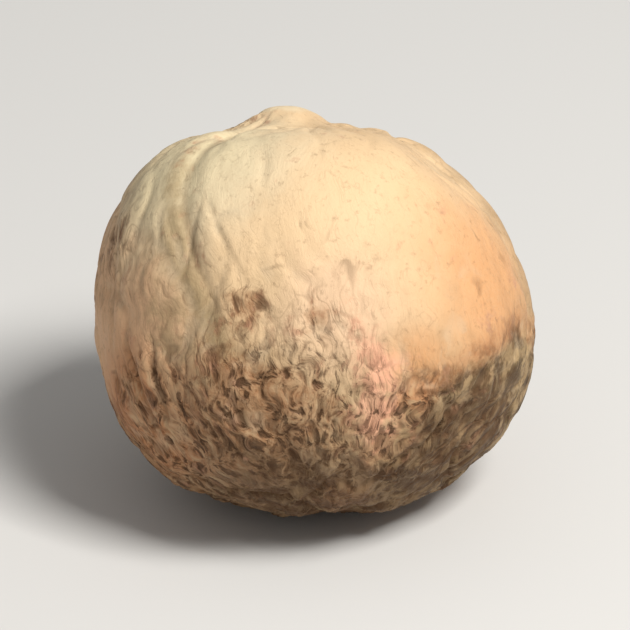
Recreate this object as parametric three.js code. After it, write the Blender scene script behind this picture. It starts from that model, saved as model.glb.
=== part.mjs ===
// A whole nutmeg: the dried kernel of the nutmeg fruit, in one solid piece.
//
// The skin is a radial surface, one distance from the seed's centre for each direction. It starts as a
// squarish oval. Broad swellings and a slow sway make it uneven. The hilum's boss, the raphe's groove,
// the chalaza's dimple and the furrows are then added to that distance or taken off it.
// The seed is shaped upright, hilum on top, then leant back and set down on a small flat spot.
import * as THREE from "three";
import { mergeVertices } from "three/addons/utils/BufferGeometryUtils.js";

// The body, in millimetres.
const WIDTH = 23.1;
const THICKNESS = 21.6;
const LENGTH = 21.2; // from end to end, without the boss
const SQUARENESS = 2.25; // 2 is a plain ellipsoid, more is squarer
const MEAN_RADIUS = 11.2; // turns directions into distances along the skin
const SWAY = { seed: 71, count: 16, length: 13, height: 0.2 };

// Broad swellings and hollows. Longitude 0 is the front and grows to the right, in degrees.
const SWELLINGS = [
  { longitude: 0, latitude: 90, spread: 40, height: -0.55 }, // flatter top, round the boss
  { longitude: -62, latitude: 50, spread: 26, height: 0.9 }, // full left shoulder
  { longitude: 76, latitude: 36, spread: 29, height: -1.15 }, // flat upper right
  { longitude: 84, latitude: 62, spread: 16, height: 0.35 }, // full beside the boss
  { longitude: -86, latitude: -24, spread: 24, height: 0.6 }, // full lower left
  { longitude: 60, latitude: -45, spread: 30, height: 0.25 }, // full lower right
  { longitude: 120, latitude: -30, spread: 30, height: 0.3 },
  { longitude: 178, latitude: 34, spread: 30, height: -0.75 }, // rounded off at the back
  { longitude: 175, latitude: -25, spread: 28, height: 0.25 },
  { longitude: 75, latitude: -80, spread: 22, height: 0.7 }, // full under the front
];

// The hilum on top: a low boss with a shallow scar, where the seed hung in its shell. The boss stands
// a little to the left of the seed's axis.
const BOSS = { longitude: -90, latitude: 88.2, height: 1.72, reach: 2.4 };
const SCAR = { depth: 0.22, reach: 1.0 };

// The chalaza at the other end: a dimple.
const DIMPLE = { depth: 0.45, reach: 1.4 };

// The raphe: one groove from the hilum to the chalaza. It leans to the left of its meridian above
// the middle and to the right below it, and its depth is uneven.
const RAPHE = { longitude: -24, depth: 0.26, reach: 0.5, lean: 13, bend: 1.7 };
const RAPHE_ENDS = { hilum: [1.6, 4.5], chalaza: [0.5, 3] };
const RAPHE_FADE = { seed: 87, count: 16, length: 6, mean: 0.8, swing: 0.4, least: 0.2, most: 1.2 };

// Wrinkles run the seed's way: patterns are drawn in a space that is squeezed along the seed's axis
// and drawn together at its ends, so that they come out long and meet at the hilum and the chalaza.
const SQUEEZE = 0.45;
const GATHER = 0.6;
const BENDING = [
  { seeds: [11, 12, 13], count: 12, length: 8, amount: 0.55 },
  { seeds: [14, 15, 16], count: 16, length: 3, amount: 0.22 },
];
const BENDING_ALONG = 0.42; // the share of the bending that acts along the seed's axis

// Furrows between the raised islands of the skin, and the soft swell of the islands.
const ISLANDS = { count: 150, seed: 501, jitter: 0.42 };
const FURROW = { depth: 0.24, reach: 0.42 };
const FURROW_FADE = { seed: 83, count: 24, length: 4.5, mean: 0.75, swing: 0.5, most: 1.3 };
const SWELL = { seed: 91, count: 32, length: 3.4, spread: 0.3, along: 0.55, height: 0.1 };

// Where the skin is smoother: the upper front most of all, and on the boss and in the dimple.
const SMOOTH_PATCHES = [
  { longitude: 20, latitude: 28, spread: 46, strength: 0.88 },
  { longitude: 68, latitude: 4, spread: 26, strength: 0.7 },
  { longitude: -48, latitude: 38, spread: 30, strength: 0.6 },
  { longitude: -12, latitude: -36, spread: 28, strength: 0.4 },
];
const SMOOTH_HILUM = [0.6, 3.2];
const SMOOTH_CHALAZA = [0.2, 2];

// How it lies: leant back from the front, rolled to the left, on a flat spot.
const LEAN = 34;
const ROLL = -7.5;
const FLAT_DEPTH = 0.4;
const SMOOTH_AT_REST = [0, 0.9]; // furrows fade out over this height above the spot

// The mesh: each of the icosahedron's 20 faces has (MESH_DETAIL + 1) squared triangles.
const MESH_DETAIL = 22;

const radians = THREE.MathUtils.degToRad;

// Random draws from 0 to 1, the same on every run (Park and Miller's generator).
function drawsFrom(seed) {
  const multiplier = 16807;
  const modulus = 2147483647;
  const warmUp = 4;
  let state = seed;
  const draw = () => {
    state = (state * multiplier) % modulus;
    return state / modulus;
  };
  for (let skipped = 0; skipped < warmUp; skipped += 1) draw();
  return draw;
}

// Plane waves in random directions, with lengths near the given one.
function waveBundle({ seed, count, length, spread = 0.2 }) {
  const draw = drawsFrom(seed);
  return Array.from({ length: count }, () => {
    const z = 2 * draw() - 1;
    const turn = 2 * Math.PI * draw();
    const steepness = ((2 * Math.PI) / length) * (1 + spread * (2 * draw() - 1));
    const across = Math.sqrt(1 - z * z);
    const vector = new THREE.Vector3(across * Math.cos(turn), across * Math.sin(turn), z);
    return { vector: vector.multiplyScalar(steepness), phase: 2 * Math.PI * draw() };
  });
}

// The sum of a bundle's waves at a point, scaled to swing by about 1 either way.
function wavesAt(point, bundle) {
  const sum = bundle.reduce((total, wave) => total + Math.cos(wave.vector.dot(point) + wave.phase), 0);
  return Math.sqrt(2 / bundle.length) * sum;
}

// The unit vector at a longitude and latitude in degrees. The front is -Y and the hilum +Z.
function toward(longitude, latitude) {
  const level = Math.cos(radians(latitude));
  const east = radians(longitude);
  return new THREE.Vector3(level * Math.sin(east), -level * Math.cos(east), Math.sin(radians(latitude)));
}

// A soft round spot: 1 at its middle, and 1/e at its spread in degrees.
function spotAt(direction, { longitude, latitude, spread }) {
  const turnedAway = 1 - direction.dot(toward(longitude, latitude));
  return Math.exp(-turnedAway / (1 - Math.cos(radians(spread))));
}

// A soft groove or bump: 1 at distance 0, and 1/e at its reach.
function bell(distance, reach) {
  return Math.exp(-((distance / reach) ** 2));
}

const ramp = (value, [start, end]) => THREE.MathUtils.smoothstep(value, start, end);
const fromHilum = (direction) => MEAN_RADIUS * Math.acos(THREE.MathUtils.clamp(direction.z, -1, 1));
const fromChalaza = (direction) => Math.PI * MEAN_RADIUS - fromHilum(direction);
const fromBoss = (direction) => MEAN_RADIUS * direction.angleTo(toward(BOSS.longitude, BOSS.latitude));

// How far a direction lies from the raphe's leaning line, in millimetres along the skin.
function acrossRaphe(direction) {
  const longitude = Math.atan2(direction.x, -direction.y);
  const latitude = Math.asin(THREE.MathUtils.clamp(direction.z, -1, 1));
  const lean = radians(RAPHE.lean) * Math.sin(RAPHE.bend * latitude);
  const turn = longitude - radians(RAPHE.longitude) + lean;
  const wrapped = THREE.MathUtils.euclideanModulo(turn + Math.PI, 2 * Math.PI) - Math.PI;
  return MEAN_RADIUS * wrapped * Math.cos(latitude);
}

// A slowly varying share, held between its least and its most.
function shareAt(point, waves, { mean, swing, least = 0, most }) {
  return THREE.MathUtils.clamp(mean + swing * wavesAt(point, waves), least, most);
}

const swayWaves = waveBundle(SWAY);
const rapheWaves = waveBundle(RAPHE_FADE);

// The distance from the centre to the skin, before furrows.
function bodyRadius(direction) {
  const onSkin = direction.clone().multiplyScalar(MEAN_RADIUS);
  const halves = new THREE.Vector3(WIDTH / 2, THICKNESS / 2, LENGTH / 2);
  const shares = direction.clone().divide(halves).toArray();
  const sum = shares.reduce((total, share) => total + Math.abs(share) ** SQUARENESS, 0);
  let radius = sum ** (-1 / SQUARENESS);
  for (const swelling of SWELLINGS) radius += swelling.height * spotAt(direction, swelling);
  radius += SWAY.height * wavesAt(onSkin, swayWaves);
  radius += BOSS.height * bell(fromBoss(direction), BOSS.reach);
  radius -= SCAR.depth * bell(fromBoss(direction), SCAR.reach);
  radius -= DIMPLE.depth * bell(fromChalaza(direction), DIMPLE.reach);
  const groove = bell(acrossRaphe(direction), RAPHE.reach) * shareAt(onSkin, rapheWaves, RAPHE_FADE);
  const hilumEnd = ramp(fromHilum(direction), RAPHE_ENDS.hilum);
  const chalazaEnd = ramp(fromChalaza(direction), RAPHE_ENDS.chalaza);
  return radius - RAPHE.depth * groove * hilumEnd * chalazaEnd;
}

// A direction's place in the squeezed space that the wrinkles are drawn in.
function grainOf(direction) {
  const across = Math.max(Math.hypot(direction.x, direction.y), Number.EPSILON);
  const gathered = MEAN_RADIUS * across ** (GATHER - 1);
  const along = MEAN_RADIUS * SQUEEZE * direction.z;
  return new THREE.Vector3(direction.x * gathered, direction.y * gathered, along);
}

// Unevenly spaced sites over the whole seed: a spiral from end to end, each site shaken a little.
function islandSites({ count, seed, jitter }) {
  const draw = drawsFrom(seed);
  const goldenTurn = Math.PI * (3 - Math.sqrt(5));
  const shake = 2 * jitter * Math.sqrt((4 * Math.PI) / count);
  return Array.from({ length: count }, (unused, index) => {
    const z = 1 - (2 * index + 1) / count;
    const across = Math.sqrt(1 - z * z);
    const turn = index * goldenTurn;
    const site = new THREE.Vector3(across * Math.cos(turn), across * Math.sin(turn), z);
    const shift = new THREE.Vector3(draw() - 0.5, draw() - 0.5, draw() - 0.5);
    return grainOf(site.addScaledVector(shift, shake).normalize());
  });
}

// How far a point lies from the nearest wall between its own site's cell and a neighbour's.
function wallDistance(point, sites) {
  const nearer = (a, b) => (point.distanceToSquared(a) < point.distanceToSquared(b) ? a : b);
  const own = sites.reduce(nearer);
  const ownSquared = point.distanceToSquared(own);
  const toWalls = sites
    .filter((site) => site !== own)
    .map((site) => (point.distanceToSquared(site) - ownSquared) / (2 * site.distanceTo(own)));
  return Math.min(...toWalls);
}

const bendingWaves = BENDING.map(({ seeds, amount, ...waves }) => ({
  amount,
  axes: seeds.map((seed) => waveBundle({ ...waves, seed })),
}));
const sites = islandSites(ISLANDS);
const fadeWaves = waveBundle(FURROW_FADE);
const swellWaves = waveBundle(SWELL);

// The depth that furrows and the islands' swell take off the skin. It is negative on a raised island.
function furrowDepth(direction) {
  const onSkin = direction.clone().multiplyScalar(MEAN_RADIUS);
  const bent = grainOf(direction);
  for (const { amount, axes } of bendingWaves) {
    const shift = new THREE.Vector3(...axes.map((bundle) => wavesAt(onSkin, bundle)));
    shift.z *= BENDING_ALONG;
    bent.addScaledVector(shift, amount);
  }
  const furrow = bell(wallDistance(bent, sites), FURROW.reach) * shareAt(onSkin, fadeWaves, FURROW_FADE);
  const swell = wavesAt(bent.clone().multiply(new THREE.Vector3(1, 1, SWELL.along)), swellWaves);
  const roughOf = (rough, patch) => rough * (1 - patch.strength * spotAt(direction, patch));
  const rough = SMOOTH_PATCHES.reduce(roughOf, 1);
  const ends = ramp(fromHilum(direction), SMOOTH_HILUM) * ramp(fromChalaza(direction), SMOOTH_CHALAZA);
  return (FURROW.depth * furrow - SWELL.height * swell) * rough * ends;
}

// The seed's closed mesh, standing on z = 0 with its box centred on the origin.
function seedGeometry() {
  const ball = new THREE.IcosahedronGeometry(1, MESH_DETAIL);
  ball.deleteAttribute("normal");
  ball.deleteAttribute("uv");
  const geometry = mergeVertices(ball);
  const corners = geometry.getAttribute("position");
  const posture = new THREE.Euler(radians(-LEAN), radians(ROLL), 0, "YXZ");
  const skin = Array.from({ length: corners.count }, (unused, index) => {
    const direction = new THREE.Vector3().fromBufferAttribute(corners, index).normalize();
    const radius = bodyRadius(direction);
    const pointAt = (distance) => direction.clone().multiplyScalar(distance).applyEuler(posture);
    return { radius, depth: furrowDepth(direction), pointAt, height: pointAt(radius).z };
  });
  const floor = Math.min(...skin.map(({ height }) => height)) + FLAT_DEPTH;
  skin.forEach(({ radius, depth, pointAt, height }, index) => {
    const point = pointAt(radius - depth * ramp(height - floor, SMOOTH_AT_REST));
    corners.setXYZ(index, point.x, point.y, Math.max(point.z - floor, 0));
  });
  geometry.computeBoundingBox();
  const middle = geometry.boundingBox.getCenter(new THREE.Vector3());
  geometry.translate(-middle.x, -middle.y, 0);
  geometry.computeVertexNormals();
  return geometry;
}

const seedSkin = new THREE.MeshStandardMaterial({ color: 0xbe9e7d, roughness: 0.75, metalness: 0 });
const nutmeg = new THREE.Mesh(seedGeometry(), seedSkin);
nutmeg.name = "nutmeg";

const model = new THREE.Group();
model.add(nutmeg);

export default model;
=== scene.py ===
import bpy
import numpy as np
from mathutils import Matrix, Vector


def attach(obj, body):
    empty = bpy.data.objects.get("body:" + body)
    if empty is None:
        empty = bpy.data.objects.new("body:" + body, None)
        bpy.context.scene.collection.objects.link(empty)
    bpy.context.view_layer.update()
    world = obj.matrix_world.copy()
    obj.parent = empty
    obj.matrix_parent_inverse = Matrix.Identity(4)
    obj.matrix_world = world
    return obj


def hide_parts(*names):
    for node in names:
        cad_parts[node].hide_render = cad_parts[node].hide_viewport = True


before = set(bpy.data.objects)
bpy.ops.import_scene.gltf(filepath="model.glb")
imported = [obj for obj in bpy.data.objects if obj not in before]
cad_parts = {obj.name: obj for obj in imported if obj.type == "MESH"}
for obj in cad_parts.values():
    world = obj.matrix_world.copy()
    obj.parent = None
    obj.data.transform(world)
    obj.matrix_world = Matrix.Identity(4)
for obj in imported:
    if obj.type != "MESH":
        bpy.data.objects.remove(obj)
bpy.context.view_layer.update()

# ----------------------------------------------------------------------------------------------
# The seed: a whole dried nutmeg kernel, one woody piece. On top is the hilum's low boss, where it
# hung in its shell. The raphe is the groove from there down the left front to the chalaza's dimple.
# The skin between them shrank as it dried, into long furrows with a finer net of cracks and pits.

MM = 0.001
WIDTH, THICKNESS, LENGTH = 23.1, 21.6, 21.2    # the body in millimetres, without the boss
SQUARENESS = 2.25                              # 2 is a plain ellipsoid, more is squarer
MEAN_RADIUS = 11.2                             # turns directions into distances along the skin
LEAN, ROLL = 34.0, -7.5                        # degrees that the hilum tips back, and to the left
FLAT_DEPTH = 0.4                               # how much of the underside the resting spot takes
REST_FADE = 0.9                                # the relief fades out over this height above the spot
SWAY_HEIGHT = 0.2                              # slow unevenness all over
BOSS_PLACE = (-90, 88.2)                       # longitude and latitude, a little left of the axis
BOSS_HEIGHT, BOSS_REACH = 1.72, 2.4
SCAR_DEPTH, SCAR_REACH = 0.22, 1.0
DIMPLE_DEPTH, DIMPLE_REACH = 0.45, 1.4
RAPHE_LONGITUDE, RAPHE_DEPTH, RAPHE_REACH = -24.0, 0.26, 0.5
RAPHE_LEAN, RAPHE_BEND = 13.0, 1.7             # degrees to each side, and how fast it changes over
SWELLINGS = (                                  # longitude, latitude, spread in degrees, height
    (0, 90, 40, -0.55),                        # flatter top, round the boss
    (-62, 50, 26, 0.9),                        # full left shoulder
    (76, 36, 29, -1.15),                       # flat upper right
    (84, 62, 16, 0.35),                        # full beside the boss
    (-86, -24, 24, 0.6),                       # full lower left
    (60, -45, 30, 0.25),                       # full lower right
    (120, -30, 30, 0.3),                       # full low on the right and behind
    (178, 34, 30, -0.75),                      # rounded off at the back
    (175, -25, 28, 0.25),                      # full low at the back
    (75, -80, 22, 0.7),                        # full under the front
)
PATCH_STEPS = 125                              # grid steps along each side of the six patches


def seed_directions(steps):
    """Unit directions (tan u, tan v, 1) / length on six square patches, u and v within 45 degrees.

    The patches face the six ways along the axes. Their shared edges are merged, so the mesh is closed.
    """
    edge = np.tan(np.linspace(-np.pi / 4, np.pi / 4, steps + 1))
    u, v = np.meshgrid(edge, edge, indexing="ij")
    patch = np.stack([u, v, np.ones_like(u)], axis=-1).reshape(-1, 3)
    ways = [(turn, side) for turn in range(3) for side in (1, -1)]
    everything = np.concatenate([np.roll(patch, turn, axis=1) * side for turn, side in ways])
    everything /= np.linalg.norm(everything, axis=1, keepdims=True)
    rounded = np.round(everything, 7)
    _, first, merged = np.unique(rounded, axis=0, return_index=True, return_inverse=True)
    corner = np.arange((steps + 1) ** 2).reshape(steps + 1, steps + 1)
    ring = [corner[:-1, :-1], corner[1:, :-1], corner[1:, 1:], corner[:-1, 1:]]
    quads = np.stack([side.ravel() for side in ring], axis=1)
    starts = np.arange(6) * (steps + 1) ** 2
    flipped = [quads[:, ::-1] if index % 2 else quads for index in range(6)]
    faces = np.concatenate([quad + start for quad, start in zip(flipped, starts)])
    return everything[first], merged.ravel()[faces]


def draws_from(seed):
    """Repeatable draws from 0 to 1: state = 16807 state mod (2^31 - 1), divided by 2^31 - 1."""
    multiplier, modulus, warm_up = 16807, 2147483647, 4
    state = seed
    for _ in range(warm_up):
        state = state * multiplier % modulus
    while True:
        state = state * multiplier % modulus
        yield state / modulus


def slow_waves(points, seed, count, length, spread=0.2):
    """sqrt(2 / N) times the sum of N cosines of k.p + phase, each k near 2 pi / length long."""
    draws = draws_from(seed)
    total = np.zeros(len(points))
    for _ in range(count):
        z = 2 * next(draws) - 1
        turn = 2 * np.pi * next(draws)
        steepness = 2 * np.pi / length * (1 + spread * (2 * next(draws) - 1))
        across = np.sqrt(1 - z * z)
        k = steepness * np.array([across * np.cos(turn), across * np.sin(turn), z])
        total += np.cos(points @ k + 2 * np.pi * next(draws))
    return np.sqrt(2 / count) * total


def toward(longitude, latitude):
    """(cos lat sin lon, -cos lat cos lon, sin lat): longitude 0 is the front, and the hilum is up."""
    east, north = np.radians([longitude, latitude])
    return np.array([np.cos(north) * np.sin(east), -np.cos(north) * np.cos(east), np.sin(north)])


def spot(longitude, latitude, spread):
    """exp(-(1 - cos a) / (1 - cos spread)), a the angle from a place on the seed."""
    turned_away = 1 - directions @ toward(longitude, latitude)
    return np.exp(-turned_away / (1 - np.cos(np.radians(spread))))


def spots(places):
    """The sum of amount times spot over rows of longitude, latitude, spread and amount."""
    return sum(amount * spot(*place) for *place, amount in places)


def bell(distance, reach):
    """exp(-(distance / reach)^2): 1 on a line, 1/e at its reach."""
    return np.exp(-(distance / reach) ** 2)


def ramp(value, start, end):
    """3t^2 - 2t^3 with t = (value - start) / (end - start), held between 0 and 1."""
    t = np.clip((value - start) / (end - start), 0, 1)
    return t * t * (3 - 2 * t)


directions, seed_faces = seed_directions(PATCH_STEPS)
on_skin = directions * MEAN_RADIUS
from_hilum = MEAN_RADIUS * np.arccos(np.clip(directions[:, 2], -1, 1))
from_chalaza = np.pi * MEAN_RADIUS - from_hilum
from_boss = MEAN_RADIUS * np.arccos(np.clip(directions @ toward(*BOSS_PLACE), -1, 1))
longitude = np.arctan2(directions[:, 0], -directions[:, 1])
latitude = np.arcsin(np.clip(directions[:, 2], -1, 1))

# The raphe's line leans to the left of its meridian above the middle, and to the right below it.
raphe_turn = longitude - np.radians(RAPHE_LONGITUDE)
raphe_turn += np.radians(RAPHE_LEAN) * np.sin(RAPHE_BEND * latitude)
raphe_turn = (raphe_turn + np.pi) % (2 * np.pi) - np.pi
across_raphe = MEAN_RADIUS * raphe_turn * np.cos(latitude)
raphe_ends = ramp(from_hilum, 1.6, 4.5) * ramp(from_chalaza, 0.5, 3.0)
raphe_fade = np.clip(0.8 + 0.4 * slow_waves(on_skin, seed=87, count=16, length=6), 0.2, 1.2)
raphe = bell(across_raphe, RAPHE_REACH) * raphe_ends * raphe_fade

# The body: a superellipsoid, (sum |d / half size|^n)^(-1/n), with swellings, boss, scar and dimple.
half_sizes = np.array([WIDTH, THICKNESS, LENGTH]) / 2
body = (np.abs(directions / half_sizes) ** SQUARENESS).sum(axis=1) ** (-1 / SQUARENESS)
body += spots(SWELLINGS) + SWAY_HEIGHT * slow_waves(on_skin, seed=71, count=16, length=13)
body += BOSS_HEIGHT * bell(from_boss, BOSS_REACH) - SCAR_DEPTH * bell(from_boss, SCAR_REACH)
body -= DIMPLE_DEPTH * bell(from_chalaza, DIMPLE_REACH) + RAPHE_DEPTH * raphe

# The grain is a place on the skin in a stretched space, where long wrinkles come out round.
SQUEEZE, GATHER = 0.45, -0.4                   # along the axis, and towards the two ends
BENDS = (                                      # seeds, count, length and amount of the waves
    ((11, 12, 13), 12, 8, 0.55),
    ((14, 15, 16), 16, 3, 0.22),
)
SMALL_BEND_SEEDS = (17, 18, 19)


def grain_of(directions):
    """(R x s^-0.4, R y s^-0.4, 0.45 R z), s the distance from the axis: wrinkles meet at both ends."""
    across = np.maximum(np.hypot(directions[:, 0], directions[:, 1]), 1e-9)
    gathered = MEAN_RADIUS * across ** GATHER
    return np.stack([directions[:, 0] * gathered, directions[:, 1] * gathered,
                     SQUEEZE * MEAN_RADIUS * directions[:, 2]], axis=1)


def shaken_spiral(count, seed, jitter):
    """Sites z = 1 - (2i + 1) / N, turned i golden angles, each shaken and put back on the seed."""
    draws = draws_from(seed)
    index = np.arange(count)
    z = 1 - (2 * index + 1) / count
    turn = index * np.pi * (3 - np.sqrt(5))
    across = np.sqrt(1 - z * z)
    sites = np.stack([across * np.cos(turn), across * np.sin(turn), z], axis=1)
    shifts = np.array([next(draws) - 0.5 for _ in range(3 * count)]).reshape(count, 3)
    sites += 2 * jitter * np.sqrt(4 * np.pi / count) * shifts
    return grain_of(sites / np.linalg.norm(sites, axis=1, keepdims=True))


def nearest_wall(points, sites, looked_at=5, parts=24):
    """The way to the cell's wall: the least of (|p - s|^2 - |p - own|^2) / (2 |s - own|) over sites s.

    The second array gives the cell that each point is in. Parts of the points in turn save memory.
    """
    wall, cell = np.empty(len(points)), np.empty(len(points), dtype=int)
    for part in np.array_split(np.arange(len(points)), parts):
        squares = (sites ** 2).sum(axis=1) - 2 * points[part] @ sites.T
        closest = np.argpartition(squares, looked_at, axis=1)[:, :looked_at]
        order = np.argsort(np.take_along_axis(squares, closest, 1), axis=1)
        closest = np.take_along_axis(closest, order, 1)
        squares = np.take_along_axis(squares, closest, 1)
        gaps = np.linalg.norm(sites[closest[:, 1:]] - sites[closest[:, :1]], axis=2)
        wall[part] = ((squares[:, 1:] - squares[:, :1]) / (2 * gaps)).min(axis=1)
        cell[part] = closest[:, 0]
    return wall, cell


# The grain is bent by slow waves, so nothing runs straight. The finer marks follow a straighter one.
straight_grain = grain_of(directions)
grain = straight_grain.copy()
for seeds, count, length, amount in BENDS:
    bends = [slow_waves(on_skin, seed, count, length) for seed in seeds]
    grain += amount * np.stack(bends, axis=1) * (1, 1, 0.42)
small_bends = [slow_waves(on_skin, seed, 48, 1.5, spread=0.4) for seed in SMALL_BEND_SEEDS]
small_bends = np.stack(small_bends, axis=1)
fine_grain = 0.7 * straight_grain + 0.3 * grain + 0.11 * small_bends * (1, 1, 0.5)

# Furrows between the skin's islands, and the islands' own soft swell. Depths are in millimetres.
ISLANDS = 150
FURROW_DEPTH, FURROW_REACH, SWELL_HEIGHT = 0.24, 0.36, 0.1
island_wall, _ = nearest_wall(grain, shaken_spiral(ISLANDS, seed=501, jitter=0.42))
furrow_fade = slow_waves(on_skin, seed=83, count=24, length=4.5)
furrow = bell(island_wall, FURROW_REACH) * np.clip(0.75 + 0.5 * furrow_fade, 0, 1.3)
swell = slow_waves(grain * (1, 1, 0.55), seed=91, count=32, length=3.4, spread=0.3)

# The finer marks: worm-like dark lines, long pale ridges and hair-fine lines.
WORM_DEPTH, RIDGE_HEIGHT, HAIRLINE_DEPTH = 0.05, 0.04, 0.03
worm = slow_waves(fine_grain * (1, 1, 0.8), seed=631, count=64, length=1.5, spread=0.35)
ridges = bell(slow_waves(fine_grain * (1, 1, 0.35), seed=621, count=48, length=2.2, spread=0.3), 0.18)
fine = slow_waves(fine_grain * (1, 1, 0.6), seed=77, count=48, length=0.9, spread=0.3)
drift = slow_waves(on_skin, seed=81, count=16, length=9)

# The furrows are shallower at four places on the front, where a share of them is taken away, and they
# fade out on the boss and in the dimple.
CALM_PLACES = ((20, 28, 46, 0.88), (68, 4, 26, 0.7), (-48, 38, 30, 0.6), (-12, -36, 28, 0.4))
smooth_ends = ramp(from_hilum, 0.6, 3.2) * ramp(from_chalaza, 0.2, 2.0)
calm = smooth_ends.copy()
for *place, share in CALM_PLACES:
    calm *= 1 - share * spot(*place)

# The pink streak is a rubbed strip low on the front. The net of pits lies below a border, given in
# degrees of latitude, that drops to both sides of the left front and rises behind. The dark olive
# skin lies below another such border on the right, partly the skin's own olive and partly painted
# shade.
STREAK_PLACE, STREAK_SLANT, STREAK_HALF_SIZE = (15, -31), 0.22, (1.5, 4.0)
NET_PLACES = (                                 # longitude, latitude, spread, more or less net
    (5, -8.5, 7, 0.65), (-15, -1.5, 6.5, 0.8), (-60, 22, 6, 0.4), (-60, -21, 8, 0.35),
    (-18, -20, 6, 0.25), (-21, -26, 6, 0.3), (22, 8, 5, 0.3),
    (-51, -34, 7, -0.25), (-35, -25, 12, -0.45), (10, -49, 15, -0.55), (-6, -11, 6, -0.35),
)
east, north = np.degrees(longitude), np.degrees(latitude)
behind = ramp(np.abs(east), 70, 140)
streak_longitude, streak_latitude = np.radians(STREAK_PLACE)
streak_turn = longitude - streak_longitude + STREAK_SLANT * latitude
streak = bell(MEAN_RADIUS * streak_turn * np.cos(latitude), STREAK_HALF_SIZE[0])
streak *= bell(MEAN_RADIUS * (latitude - streak_latitude), STREAK_HALF_SIZE[1])
net_border = np.maximum(-6 - 0.48 * np.maximum(east + 25, 0) - 0.12 * np.maximum(-25 - east, 0), -22)
net_border += (24 + 7 * drift) * behind
netted = ramp(net_border - north, -9, 18) * (1 - ramp(east, 12, 26) * ramp(east, 150, 100))
netted = np.clip(netted + spots(NET_PLACES) - 0.8 * streak, 0, 1)
olive_and_shade_border = np.minimum(0.4 * east - 39.8, -9.5) + 8 * drift * ramp(east, 85, 115)
olive_and_shade = ramp(olive_and_shade_border - north, -8, 11) * ramp(east, 14, 34) * ramp(east, 150, 100)

# How rough the skin is: most in the net and the dark olive, least on the upper right.
rough = 0.4 + 0.2 * drift + 0.25 * behind + 0.85 * netted + 0.65 * olive_and_shade
rough = np.clip(rough, 0, 1.25) * (1 - 0.88 * spot(20, 28, 46)) * smooth_ends
rough *= 1 - 0.65 * spot(68, 6, 22)
rough += 0.2 * spot(-8, -24, 20) - 0.2 * spot(-62, -34, 26) + 0.12 * streak
rough = np.clip(rough, 0, 1.4)
pitted = ramp(rough, 0.3, 1.1)

# The net: small cells, each with its own draw, which says how deep a pit it is.
PIT_CELLS, PIT_DEPTH, NET_HEIGHT = 2600, 0.1, 0.015
pit_wall, pit_cell = nearest_wall(fine_grain, shaken_spiral(PIT_CELLS, seed=503, jitter=0.48))
pit_draws = draws_from(505)
pit_share = np.array([next(pit_draws) for _ in range(PIT_CELLS)])[pit_cell] + 0.25 * drift
small_pit = ramp(pit_wall, 0.02, 0.22) * ramp(pit_share, 0.3, 0.9) * pitted

worm_breaks = slow_waves(on_skin, seed=85, count=48, length=1.7, spread=0.5)
worm_seen = ramp(0.5 * worm_breaks + 1.3 * rough, 0.4, 1.8) * smooth_ends
relief = (FURROW_DEPTH * furrow - SWELL_HEIGHT * swell + HAIRLINE_DEPTH * bell(fine, 0.45)) * calm
relief += WORM_DEPTH * bell(worm, 0.35) * worm_seen - RIDGE_HEIGHT * ridges * rough
relief += PIT_DEPTH * small_pit - NET_HEIGHT * pitted

# The few larger pits: longitude, latitude, radius and depth in millimetres. The last four are behind.
LARGE_PITS = (
    (-18, -0.5, 0.45, 0.12), (-11, -2.5, 0.4, 0.12), (-17, -10, 0.4, 0.08), (22, 6, 0.6, 0.04),
    (-25, -13, 0.5, 0.1),
    (112, 20, 0.4, 0.2), (150, -12, 0.35, 0.15), (-120, 30, 0.4, 0.2), (-150, -25, 0.3, 0.15),
)
DARK_FROM_DEPTH = 0.14                         # a pit of this depth or more is fully dark
large_pit = np.zeros(len(directions))
for pit_longitude, pit_latitude, pit_radius, pit_depth in LARGE_PITS:
    nearness = spot(pit_longitude, pit_latitude, np.degrees(pit_radius / MEAN_RADIUS))
    hole = np.clip(nearness * (1 + 0.5 * fine), 0, 1)
    relief += pit_depth * hole
    large_pit = np.maximum(large_pit, hole * min(pit_depth / DARK_FROM_DEPTH, 1))


def lean_matrix(lean, roll):
    """Ry(roll) Rx(-lean): the seed stands up on its axis, then tips back and rolls."""
    a, b = np.radians([lean, roll])
    tip = np.array([[1, 0, 0], [0, np.cos(a), np.sin(a)], [0, -np.sin(a), np.cos(a)]])
    tilt = np.array([[np.cos(b), 0, np.sin(b)], [0, 1, 0], [-np.sin(b), 0, np.cos(b)]])
    return tilt @ tip


# Set down: the lowest 0.4 mm is cut flat, the relief fades out just above it, and the box is centred.
posture = lean_matrix(LEAN, ROLL)
smooth_height = ((directions * body[:, None]) @ posture.T)[:, 2]
floor_height = smooth_height.min() + FLAT_DEPTH
at_rest = ramp(smooth_height - floor_height, 0.0, REST_FADE)
skin = (directions * (body - relief * at_rest)[:, None]) @ posture.T
skin[:, 2] = np.maximum(skin[:, 2] - floor_height, 0)
skin[:, :2] -= (skin[:, :2].min(axis=0) + skin[:, :2].max(axis=0)) / 2

seed_mesh = bpy.data.meshes.new("nutmeg_seed")
seed_mesh.from_pydata((skin * MM).tolist(), [], seed_faces.tolist())
seed_mesh.shade_smooth()

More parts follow.
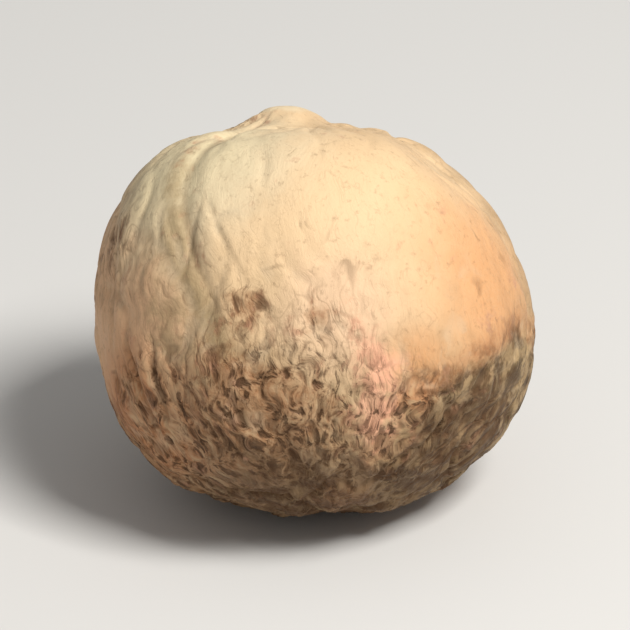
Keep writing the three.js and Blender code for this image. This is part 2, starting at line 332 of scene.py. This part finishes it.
# What the material reads at each vertex: the marks of the relief, and where each tone of skin lies.
RUST_PLACES = ((-60, -26, 21, 1.4), (26, -44, 12, 0.8), (10, -70, 13, 0.7), (33, -32, 7, 0.8))
FIELDS = {
    "grain": grain,
    "fine_grain": fine_grain,
    "furrow": furrow * calm * at_rest,
    "worm": worm,
    "worm_seen": worm_seen * at_rest,
    "ridges": ridges,
    "hairline": fine,
    "rough": rough * at_rest,
    "small_pit": small_pit * at_rest,
    "large_pit": large_pit,
    "raphe": raphe,
    "from_boss": from_boss,
    "from_chalaza": from_chalaza,
    "grey": spot(-75, 5, 42) * ramp(across_raphe, 0.6, -0.6),
    "cream": spot(18, 42, 56),
    "pale_top": spot(-32, 46, 40),
    "moss": spot(-44, 46, 28),
    "blush": spot(11, -6, 19),
    "peach": np.maximum(spot(60, 0, 29), 0.9 * spot(34, -21, 12)),
    "raphe_side": bell(across_raphe + 0.7, 1.0) * raphe_ends * ramp(from_hilum, 5, 13),
    "netted": netted,
    # The dark olive: partly the skin's own colour, partly painted shade low on the right and under the
    # seed.
    "olive_and_shade": np.maximum(olive_and_shade, spot(-30, -75, 29)),
    "rust": spots(RUST_PLACES) + 2.6 * olive_and_shade * (1 - olive_and_shade) * ramp(east, 22, 50),
    "streak": streak,
    # Painted shade: the skin is darkened towards the underside.
    "underside_shade": (np.maximum(spot(-5, -82, 42), 1.3 * spot(64, -50, 24))
                  + 0.35 * spot(-24, -58, 12)),
}
for name, values in FIELDS.items():
    kind, slot = ("FLOAT", "value") if values.ndim == 1 else ("FLOAT_VECTOR", "vector")
    field = seed_mesh.attributes.new(name, kind, "POINT")
    field.data.foreach_set(slot, values.astype(np.float32).ravel())

seed = bpy.data.objects.new("nutmeg_seed", seed_mesh)
bpy.context.scene.collection.objects.link(seed)

# The skin's finish: dry and matt, rubbed a little smoother on the ridges. Cream with a mossy tint on
# the top left, peach on the right, blush in the middle and greyish brown on the left. Low down come
# the brown net with its dark pits, the pink streak, rust, and the dark olive with its pale islands,
# partly painted shade. Painted shade also darkens the skin towards the underside.
SKIN_BROWN = (0.43, 0.29, 0.16, 1)
SKIN_GREY = (0.68, 0.42, 0.245, 1)
SKIN_CREAM = (0.71, 0.51, 0.30, 1)
SKIN_MOSS = (0.69, 0.60, 0.38, 1)
SKIN_BLUSH = (0.73, 0.50, 0.33, 1)
SKIN_PEACH = (0.63, 0.33, 0.15, 1)
SKIN_PINK = (0.87, 0.44, 0.285, 1)
# Dark olive, partly the skin's own and partly painted shade.
DARK_OLIVE_AND_SHADE = (0.097, 0.065, 0.0255, 1)
SKIN_RUST = (0.48, 0.195, 0.078, 1)
NET_BROWN = (0.305, 0.145, 0.063, 1)
RAPHE_BROWN = (0.37, 0.27, 0.14, 1)
CRACK_BROWN = (0.11, 0.054, 0.024, 1)
PIT_BROWN = (0.06, 0.03, 0.013, 1)
RIDGE_CREAM = (0.58, 0.42, 0.25, 1)
ISLAND_OLIVE = (0.52, 0.36, 0.19, 1)
BLOOM = (0.56, 0.45, 0.31, 1)
HILUM_CREAM = (0.75, 0.615, 0.41, 1)

skin_finish = bpy.data.materials.new("nutmeg_skin")
skin_finish.use_nodes = True
nodes, links = skin_finish.node_tree.nodes, skin_finish.node_tree.links
shader = nodes["Principled BSDF"]


def wire(socket, source):
    """Links a node's output, or sets a plain value."""
    if isinstance(source, bpy.types.NodeSocket):
        links.new(source, socket)
    else:
        socket.default_value = source


def stored(name, output="Fac"):
    """Reads a field that the mesh keeps."""
    node = nodes.new("ShaderNodeAttribute")
    node.attribute_name = name
    return node.outputs[output]


def figure(operation, first, second=0.0, third=0.0):
    """One sum, worked out by a Math node. MULTIPLY_ADD is first times second, plus third."""
    node = nodes.new("ShaderNodeMath")
    node.operation = operation
    for socket, source in zip(node.inputs, (first, second, third)):
        wire(socket, source)
    return node.outputs[0]


def times(first, second):
    """The product of two numbers."""
    return figure("MULTIPLY", first, second)


def between(value, low, high, out_low=0.0, out_high=1.0):
    """Smoothly maps low..high to out_low..out_high, held at both ends."""
    node = nodes.new("ShaderNodeMapRange")
    node.interpolation_type = "SMOOTHSTEP"
    for socket, source in zip(node.inputs, (value, low, high, out_low, out_high)):
        wire(socket, source)
    return node.outputs[0]


def blend(share, first, second):
    """Lays a share of the second colour over the first."""
    node = nodes.new("ShaderNodeMix")
    node.data_type = "RGBA"
    wire(node.inputs["Factor"], share)
    wire(node.inputs[6], first)
    wire(node.inputs[7], second)
    return node.outputs[2]


def mottle(vector, scale, detail=3.0, roughness=0.55):
    """Noise from 0 to 1, its blotches about 1 / scale across."""
    node = nodes.new("ShaderNodeTexNoise")
    wire(node.inputs["Vector"], vector)
    node.inputs["Scale"].default_value = scale
    node.inputs["Detail"].default_value = detail
    node.inputs["Roughness"].default_value = roughness
    return node.outputs["Fac"]


def cells(vector, scale):
    """Uneven cells about 1 / scale across: the way to a cell's wall, and a number of the cell's own."""
    found = []
    for feature, output in (("DISTANCE_TO_EDGE", "Distance"), ("F1", "Color")):
        node = nodes.new("ShaderNodeTexVoronoi")
        node.feature = feature
        wire(node.inputs["Vector"], vector)
        node.inputs["Scale"].default_value = scale
        found.append(node.outputs[output])
    return found


def shaken(vector, scale, amount):
    """vector + amount times noise, so that straight walls come out crooked."""
    noise = nodes.new("ShaderNodeTexNoise")
    wire(noise.inputs["Vector"], vector)
    noise.inputs["Scale"].default_value = scale
    noise.inputs["Detail"].default_value = 3
    node = nodes.new("ShaderNodeVectorMath")
    node.operation = "MULTIPLY_ADD"
    wire(node.inputs[0], noise.outputs["Color"])
    node.inputs[1].default_value = (amount, amount, amount)
    wire(node.inputs[2], vector)
    return node.outputs[0]


def stretched(vector, factors):
    """Scales a vector's three parts."""
    node = nodes.new("ShaderNodeVectorMath")
    node.operation = "MULTIPLY"
    wire(node.inputs[0], vector)
    node.inputs[1].default_value = factors
    return node.outputs[0]


def turned(vector, angles):
    """Turns a vector about the three axes."""
    node = nodes.new("ShaderNodeVectorRotate")
    node.rotation_type = "EULER_XYZ"
    wire(node.inputs["Vector"], vector)
    node.inputs["Rotation"].default_value = angles
    return node.outputs[0]


place = nodes.new("ShaderNodeTexCoord").outputs["Object"]
grain_place = stored("grain", "Vector")
fine_place = stored("fine_grain", "Vector")
rough_here = stored("rough")
olive_and_shade_here = stored("olive_and_shade")
furrow_here = stored("furrow")

# Marks along the fine grain: dark hollows where the noise is high, and pale flecks where it is low.
worm_lines = times(between(figure("ABSOLUTE", stored("worm")), 0.42, 0.1), stored("worm_seen"))
hollow_place = turned(stretched(fine_place, (1, 1, 1.2)), (0.2, 1.3, 0.6))
broad_hollows = mottle(hollow_place, 0.9, detail=1)
hollow_noise = figure("MULTIPLY_ADD", broad_hollows, 0.5, mottle(hollow_place, 2.1, detail=4))
hollows = times(between(hollow_noise, 0.71, 0.95), between(rough_here, 0.1, 0.9))
flecks = times(between(hollow_noise, 0.70, 0.52), between(rough_here, 0.5, 1.1))

# The finest net: crooked cells. Where a cell's share is high it is a pit, where low a pale island.
net_wall, net_cell = cells(shaken(fine_place, 3.2, 0.7), 1.8)
cell_share = figure("MULTIPLY_ADD", hollow_noise, 1.6, times(net_cell, 0.9))
net_pits = times(between(cell_share, 1.35, 1.85), between(net_wall, 0.07, 0.26))
net_pits = times(net_pits, between(rough_here, 0.3, 1.1))
net_ridges = times(between(net_wall, 0.14, 0.02), between(rough_here, 0.4, 1.1))
pale_islands = times(between(cell_share, 1.4, 1.1), between(net_wall, 0.02, 0.15))

# Blotches 1 to 2.5 mm across, and the hollows themselves, break up the edges of the broad tones.
blotch = figure("SUBTRACT", mottle(place, 420, detail=4, roughness=0.6), 0.5)
dusk_blotch = figure("SUBTRACT", mottle(place, 560, detail=3, roughness=0.6), 0.5)
small_blotch = figure("SUBTRACT", mottle(place, 1100, detail=3, roughness=0.6), 0.5)
soft_edge = times(blotch, 0.6)
ragged = figure("MULTIPLY_ADD", blotch, 1.5, times(small_blotch, 0.9))
ragged = figure("MULTIPLY_ADD", hollows, 0.35, ragged)

# The broad tones, one over another. Each comes in where its field plus its edge rises from the first
# number to the second, up to the share that follows.
TONES = (
    ("grey", ragged, 0.2, 0.7, 1.0, SKIN_GREY),
    ("cream", soft_edge, 0.15, 0.5, 1.0, SKIN_CREAM),
    ("pale_top", soft_edge, 0.3, 1.0, 1.0, HILUM_CREAM),
    ("moss", soft_edge, 0.1, 1.0, 0.75, SKIN_MOSS),
    ("blush", soft_edge, 0.1, 1.0, 0.7, SKIN_BLUSH),
    ("peach", soft_edge, 0.0, 1.1, 1.0, SKIN_PEACH),
    ("raphe_side", ragged, 0.2, 1.2, 0.8, RAPHE_BROWN),
    ("netted", ragged, 0.25, 1.0, 0.95, NET_BROWN),
    # The dark olive, partly painted shade.
    ("olive_and_shade", times(ragged, 1.3), 0.28, 0.95, 0.95, DARK_OLIVE_AND_SHADE),
    ("rust", soft_edge, 0.2, 1.0, 0.7, SKIN_RUST),
    ("streak", times(ragged, 1.4), 0.2, 1.2, 0.9, SKIN_PINK),
)
tone = SKIN_BROWN
for name, edge, start, full, share, colour in TONES:
    tone = blend(between(figure("ADD", stored(name), edge), start, full, 0.0, share), tone, colour)

# Fibres along the grain and dark speckles, then a pale bloom in and beside the furrows.
fibres = mottle(stretched(grain_place, (1, 1, 0.35)), 7.0, detail=4, roughness=0.7)
speckle = mottle(place, 2600, detail=3, roughness=0.6)
bloom = times(between(furrow_here, 0.15, 0.6), between(mottle(place, 900, detail=4), 0.42, 0.62))
tone = blend(between(fibres, 0.35, 0.75, 0.0, 0.2), tone, RIDGE_CREAM)
tone = blend(between(speckle, 0.55, 0.8, 0.0, 0.35), tone, CRACK_BROWN)
tone = blend(times(bloom, 0.3), tone, BLOOM)

# The marks, from hairlines and ridges to the net, the dark olive's clouds and islands, and the pits.
hairlines = between(figure("ABSOLUTE", stored("hairline")), 0.35, 0.0, 0.0, 0.35)
ridge_lines = times(stored("ridges"), between(rough_here, 0.3, 1.0))
rough_islands = times(pale_islands, between(rough_here, 0.6, 1.2, 0.0, 0.25))
dusk_islands = times(pale_islands, between(olive_and_shade_here, 0.0, 1.0, 0.0, 0.6))
dark_clouds = times(between(dusk_blotch, 0.0, 0.1), between(olive_and_shade_here, 0.2, 1.0, 0.0, 0.56))
pale_clouds = times(between(dusk_blotch, 0.0, -0.1), between(olive_and_shade_here, 0.2, 1.0, 0.0, 0.45))
small_pits = figure("MULTIPLY_ADD", small_blotch, 1.5, stored("small_pit"))
tone = blend(times(hairlines, between(rough_here, 0.1, 0.7)), tone, CRACK_BROWN)
tone = blend(times(ridge_lines, 0.3), tone, RIDGE_CREAM)
tone = blend(times(flecks, 0.4), tone, RIDGE_CREAM)
tone = blend(times(worm_lines, 0.4), tone, CRACK_BROWN)
tone = blend(times(hollows, 0.55), tone, CRACK_BROWN)
tone = blend(times(net_ridges, 0.15), tone, RIDGE_CREAM)
tone = blend(rough_islands, tone, RIDGE_CREAM)
tone = blend(dark_clouds, tone, PIT_BROWN)
tone = blend(pale_clouds, tone, ISLAND_OLIVE)
tone = blend(dusk_islands, tone, ISLAND_OLIVE)
tone = blend(between(small_pits, 0.3, 0.9, 0.0, 0.5), tone, CRACK_BROWN)
tone = blend(times(net_pits, between(speckle, 0.3, 0.6, 1.0, 0.7)), tone, PIT_BROWN)

# The finest lines, then the dark of the furrows, painted shade under the seed, the raphe and the larger
# pits.
line_noise = mottle(stretched(fine_place, (1, 1, 0.22)), 1.9, detail=2, roughness=0.5)
line_edge = figure("ABSOLUTE", figure("SUBTRACT", line_noise, 0.5))
finest_lines = times(between(line_edge, 0.02, 0.004), between(rough_here, 0.1, 1.0, 0.12, 0.5))
finest_lines = times(finest_lines, between(small_blotch, -0.1, 0.1, 0.2, 1.0))
large_pits = figure("MULTIPLY_ADD", small_blotch, 1.6, stored("large_pit"))
tone = blend(finest_lines, tone, CRACK_BROWN)
tone = blend(between(furrow_here, 0.6, 1.1, 0.0, 0.35), tone, CRACK_BROWN)
# Painted shade: the skin darkened towards the underside.
tone = blend(between(stored("underside_shade"), 0.15, 0.9, 0.0, 0.55), tone, CRACK_BROWN)
tone = blend(between(stored("raphe"), 0.55, 1.0, 0.0, 0.4), tone, CRACK_BROWN)
tone = blend(between(large_pits, 0.2, 0.8, 0.0, 0.65), tone, CRACK_BROWN)

# The hilum's pale scar with its dark middle, and the chalaza's dark dimple, by millimetres from each.
scar_edge = figure("MULTIPLY_ADD", ragged, 1.4, stored("from_boss"))
tone = blend(between(scar_edge, 1.9, 1.1, 0.0, 0.85), tone, HILUM_CREAM)
tone = blend(between(scar_edge, 0.6, 0.2, 0.0, 0.8), tone, CRACK_BROWN)
tone = blend(between(stored("from_chalaza"), 1.6, 0.5, 0.0, 0.7), tone, CRACK_BROWN)
wire(shader.inputs["Base Color"], tone)

# Ridges are rubbed a little smoother than the hollows and furrows.
wire(shader.inputs["Roughness"], between(figure("ADD", hollows, furrow_here), 0.0, 1.0, 0.6, 0.85))
shader.inputs["IOR"].default_value = 1.45
shader.inputs["Specular IOR Level"].default_value = 0.25

# The finest relief: fibres and a dry grit, with the finest lines, hollows and net pits sunk in.
grit = mottle(place, 5200, detail=4, roughness=0.65)
height = figure("MULTIPLY_ADD", grit, 0.6, fibres)
for mark, depth in ((finest_lines, 0.8), (hollows, 1.2), (net_pits, 2.2)):
    height = figure("SUBTRACT", height, times(mark, depth))
bump = nodes.new("ShaderNodeBump")
bump.inputs["Strength"].default_value = 0.6
bump.inputs["Distance"].default_value = 0.05 * MM
wire(bump.inputs["Height"], height)
wire(shader.inputs["Normal"], bump.outputs["Normal"])

seed_mesh.materials.append(skin_finish)
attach(seed, "root")
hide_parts("nutmeg")

# ----------------------------------------------------------------------------------------------
# The floor: a plain, pale, matt sheet that the seed rests on. It is there to catch the shadow, and is
# not part of the object.

FLOOR_HALF = 1.2                               # metres from the middle to a side
FLOOR_GREY = (0.62, 0.62, 0.61, 1)
floor_mesh = bpy.data.meshes.new("floor")
floor_corners = [(-FLOOR_HALF, -FLOOR_HALF, 0), (FLOOR_HALF, -FLOOR_HALF, 0),
                 (FLOOR_HALF, FLOOR_HALF, 0), (-FLOOR_HALF, FLOOR_HALF, 0)]
floor_mesh.from_pydata(floor_corners, [], [(0, 1, 2, 3)])
floor_finish = bpy.data.materials.new("floor_sheet")
floor_finish.use_nodes = True
floor_shader = floor_finish.node_tree.nodes["Principled BSDF"]
floor_shader.inputs["Base Color"].default_value = FLOOR_GREY
floor_shader.inputs["Roughness"].default_value = 0.9
floor_mesh.materials.append(floor_finish)
floor = bpy.data.objects.new("floor", floor_mesh)
bpy.context.scene.collection.objects.link(floor)

# ----------------------------------------------------------------------------------------------
# The light: one soft, slightly warm square lamp high on the right, with a faint even sky.

AIM = Vector((0, 0, 0.0105))                   # near the seed's middle, in metres
LAMP_PLACE = Vector((0.16, -0.135, 0.305))
LAMP_SIZE, LAMP_POWER, LAMP_COLOUR = 0.12, 1.65, (1, 0.97, 0.93)
SKY_COLOUR, SKY_STRENGTH = (1, 0.98, 0.96, 1), 0.35

light = bpy.data.lights.new("key_lamp", "AREA")
light.size = LAMP_SIZE
light.energy = LAMP_POWER
light.color = LAMP_COLOUR
lamp = bpy.data.objects.new("key_lamp", light)
lamp.location = LAMP_PLACE
lamp.rotation_euler = (AIM - LAMP_PLACE).to_track_quat("-Z", "Y").to_euler()
bpy.context.scene.collection.objects.link(lamp)
sky = bpy.data.worlds.new("sky")
sky.use_nodes = True
sky.node_tree.nodes["Background"].inputs["Color"].default_value = SKY_COLOUR
sky.node_tree.nodes["Background"].inputs["Strength"].default_value = SKY_STRENGTH
bpy.context.scene.world = sky

# ----------------------------------------------------------------------------------------------
# The camera: 29 degrees above the seed, from the front, far off with a long lens.

ELEVATION = np.radians(29)
DISTANCE = 0.44
FIELD_OF_VIEW = np.radians(4.4)
SENSOR = 36.0

camera_data = bpy.data.cameras.new("camera")
camera_data.sensor_width = SENSOR
camera_data.lens = SENSOR / 2 / np.tan(FIELD_OF_VIEW / 2)
camera_data.clip_start = 0.01
camera = bpy.data.objects.new("camera", camera_data)
camera.location = AIM + DISTANCE * Vector((0, -np.cos(ELEVATION), np.sin(ELEVATION)))
camera.rotation_euler = (AIM - camera.location).to_track_quat("-Z", "Y").to_euler()
bpy.context.scene.collection.objects.link(camera)
bpy.context.scene.camera = camera
bpy.context.scene.view_settings.view_transform = "Standard"
